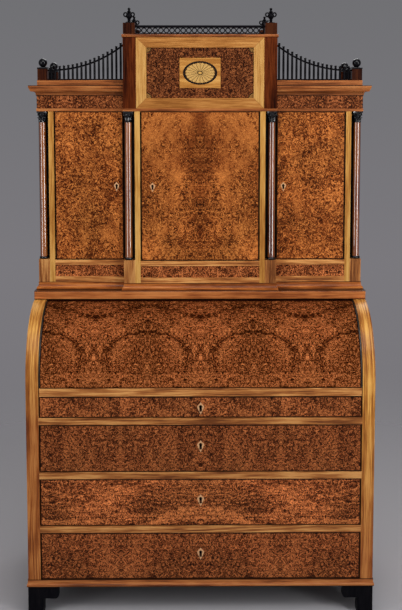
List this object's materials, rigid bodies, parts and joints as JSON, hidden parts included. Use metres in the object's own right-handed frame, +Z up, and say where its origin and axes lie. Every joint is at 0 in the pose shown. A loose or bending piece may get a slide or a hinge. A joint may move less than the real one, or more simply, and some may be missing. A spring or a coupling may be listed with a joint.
{
  "type": "cylinder-front bureau cabinet",
  "caption": "Cylinder-front writing bureau with drawers, a writing slide behind a quarter-round fall, and a columned breakfront cabinet with attic and galleries above.",
  "frame": {"origin": "on the floor, at the centre of the footprint", "axes": "+X to the right seen from the front, +Y from front to back, +Z up"},
  "size_m": [1.21, 0.605, 2.0844],
  "materials": {
    "light_wood": "satin polish, straight golden grain",
    "burl_veneer": "polished dark burl veneer",
    "door_burl": "polished lighter burl veneer",
    "red_wood": "satin polish, red-orange grain",
    "mahogany": "satin polish, dark red grain",
    "column_wood": "high polish",
    "ebonised": "black polish",
    "secondary_wood": "plain planed softwood",
    "inlay_wood": "pale marquetry",
    "iron": "dark oiled iron",
    "lock_brass": "aged brass"
  },
  "bodies": {
    "carcass": {"case_side_left": "light_wood", "case_side_right": "light_wood", "base_board": "red_wood", "bracket_feet": "ebonised", "drawer_rails": "light_wood", "dust_boards": "secondary_wood", "slide_bearers": "secondary_wood", "pigeonhole_case": "light_wood", "pivot_pins": "iron", "desk_top": "red_wood", "cabinet_sides": "light_wood", "cabinet_partitions": "secondary_wood", "door_stiles": "light_wood", "cabinet_rails": "light_wood", "plinth_panels": "burl_veneer", "cabinet_shelves": "secondary_wood", "cabinet_tops": "red_wood", "back_panels": "secondary_wood", "cabinet_base_moulding": "red_wood", "column_plinths": "light_wood", "column_bases": "ebonised", "column_shafts": "column_wood", "column_capitals": "ebonised", "side_friezes": "burl_veneer", "cornices": "red_wood", "gallery_plinths": "red_wood", "attic_case": "mahogany", "attic_frame": "light_wood", "attic_panel": "burl_veneer", "patera_plaque": "inlay_wood", "attic_cap": "red_wood", "gallery_posts": "mahogany", "ring_gallery": "ebonised", "urn_finials": "ebonised", "ball_finials": "ebonised", "spindle_railings": "ebonised"},
    "fall": {"cylinder_fall": "burl_veneer", "fall_arms": "iron"},
    "slide": {"writing_slide": "light_wood"},
    "shallow_drawer": {"drawer_shallow_front": "burl_veneer", "drawer_shallow_box": "secondary_wood", "drawer_shallow_lock": "lock_brass"},
    "upper_drawer": {"drawer_upper_front": "burl_veneer", "drawer_upper_box": "secondary_wood", "drawer_upper_lock": "lock_brass"},
    "middle_drawer": {"drawer_middle_front": "burl_veneer", "drawer_middle_box": "secondary_wood", "drawer_middle_lock": "lock_brass"},
    "lower_drawer": {"drawer_lower_front": "burl_veneer", "drawer_lower_box": "secondary_wood", "drawer_lower_lock": "lock_brass"},
    "left_door": {"door_left": "door_burl", "door_left_lock": "lock_brass"},
    "centre_door": {"door_centre": "door_burl", "door_centre_lock": "lock_brass"},
    "right_door": {"door_right": "door_burl", "door_right_lock": "lock_brass"},
    "inner_left_drawer": {"inner_drawer_left": "light_wood"},
    "inner_centre_drawer": {"inner_drawer_centre": "light_wood"},
    "inner_right_drawer": {"inner_drawer_right": "light_wood"}
  },
  "joints": [
    {"name": "fall_roll", "type": "hinge", "parent": "carcass", "child": "fall", "pos_m": [0, -0.0485, 0.8055], "axis": [-1, 0, 0], "range_deg": [0, 84]},
    {"name": "slide_pull", "type": "slide", "parent": "carcass", "child": "slide", "axis": [0, -1, 0], "range_m": [0, 0.27]},
    {"name": "shallow_drawer_pull", "type": "slide", "parent": "carcass", "child": "shallow_drawer", "axis": [0, -1, 0], "range_m": [0, 0.4]},
    {"name": "upper_drawer_pull", "type": "slide", "parent": "carcass", "child": "upper_drawer", "axis": [0, -1, 0], "range_m": [0, 0.4]},
    {"name": "middle_drawer_pull", "type": "slide", "parent": "carcass", "child": "middle_drawer", "axis": [0, -1, 0], "range_m": [0, 0.4]},
    {"name": "lower_drawer_pull", "type": "slide", "parent": "carcass", "child": "lower_drawer", "axis": [0, -1, 0], "range_m": [0, 0.4]},
    {"name": "left_door_swing", "type": "hinge", "parent": "carcass", "child": "left_door", "pos_m": [-0.5095, -0.02, 1.457], "axis": [0, 0, -1], "range_deg": [0, 105]},
    {"name": "centre_door_swing", "type": "hinge", "parent": "carcass", "child": "centre_door", "pos_m": [0.2015, -0.054, 1.457], "axis": [0, 0, 1], "range_deg": [0, 105]},
    {"name": "right_door_swing", "type": "hinge", "parent": "carcass", "child": "right_door", "pos_m": [0.5095, -0.02, 1.457], "axis": [0, 0, 1], "range_deg": [0, 105]},
    {"name": "inner_left_drawer_pull", "type": "slide", "parent": "carcass", "child": "inner_left_drawer", "axis": [0, -1, 0], "range_m": [0, 0.11]},
    {"name": "inner_centre_drawer_pull", "type": "slide", "parent": "carcass", "child": "inner_centre_drawer", "axis": [0, -1, 0], "range_m": [0, 0.11]},
    {"name": "inner_right_drawer_pull", "type": "slide", "parent": "carcass", "child": "inner_right_drawer", "axis": [0, -1, 0], "range_m": [0, 0.11]}
  ]
}
